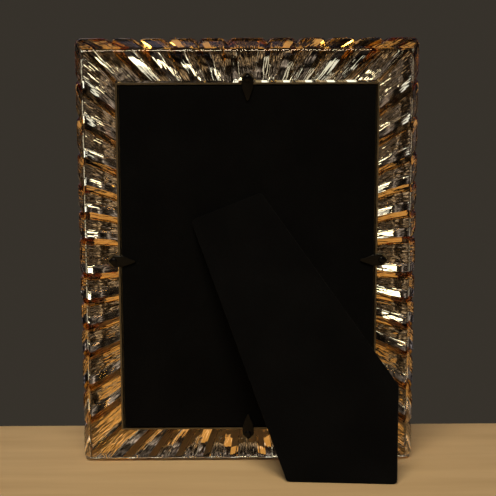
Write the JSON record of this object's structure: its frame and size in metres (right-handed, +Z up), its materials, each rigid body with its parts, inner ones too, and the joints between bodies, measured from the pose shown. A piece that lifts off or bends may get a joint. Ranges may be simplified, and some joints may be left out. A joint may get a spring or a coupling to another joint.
{
  "type": "photo frame",
  "caption": "Standing photo frame of amber pressed glass with a fan-ribbed border, a velvet back board held by turn buttons, and a hinged easel leg.",
  "frame": {"origin": "centre of the standing frame's bounding box, on the surface that it stands on", "axes": "+Z up, -Y out of the front of the leaning picture, +Y towards the leg at the back, +X to the right seen from the front"},
  "size_m": [0.172, 0.0914, 0.2177],
  "materials": {
    "amber_glass": "clear amber pressed glass, polished, ribbed in front",
    "clear_glass": "clear float glass",
    "brass": "satin",
    "insert_paper": "plain matt paper, no picture",
    "card": "grey-brown backing card",
    "fibreboard": "pressed fibreboard",
    "black_velvet": "short-pile black velvet",
    "black_paper": "matt black lining paper",
    "black_metal": "gloss black enamel on steel",
    "steel": "drawn wire"
  },
  "bodies": {
    "root": {"glass_frame": "amber_glass", "liner_frame": "brass", "glazing_pane": "clear_glass", "photo_insert": "insert_paper", "backing_card": "card", "board_core": "fibreboard", "board_velvet": "black_velvet", "hinge_board_leaf": "black_metal", "hinge_pin": "steel", "board_leaf_rivets": "black_metal", "button_studs": "black_metal"},
    "leg": {"leg_core": "fibreboard", "leg_velvet": "black_velvet", "leg_facing": "black_paper", "hinge_leg_leaf": "black_metal", "leg_leaf_rivets": "black_metal"},
    "button_top": {"turn_button_top": "black_metal"},
    "button_left": {"turn_button_left": "black_metal"},
    "button_bottom": {"turn_button_bottom": "black_metal"},
    "button_right": {"turn_button_right": "black_metal"}
  },
  "joints": [
    {"name": "leg_hinge", "type": "hinge", "parent": "root", "child": "leg", "pos_m": [0.0081, -0.00091, 0.12669], "axis": [0.9272, -0.0804, -0.3659], "range_deg": [-26.68, 0]},
    {"name": "button_top_turn", "type": "hinge", "parent": "root", "child": "button_top", "pos_m": [0, 0.01336, 0.19696], "axis": [0, 0.9767, -0.2147], "continuous": true},
    {"name": "button_left_turn", "type": "hinge", "parent": "root", "child": "button_left", "pos_m": [0.0678, -0.00665, 0.10594], "axis": [0, 0.9767, -0.2147], "continuous": true},
    {"name": "button_bottom_turn", "type": "hinge", "parent": "root", "child": "button_bottom", "pos_m": [0, -0.02666, 0.01491], "axis": [0, 0.9767, -0.2147], "continuous": true},
    {"name": "button_right_turn", "type": "hinge", "parent": "root", "child": "button_right", "pos_m": [-0.0678, -0.00665, 0.10594], "axis": [0, 0.9767, -0.2147], "continuous": true}
  ]
}
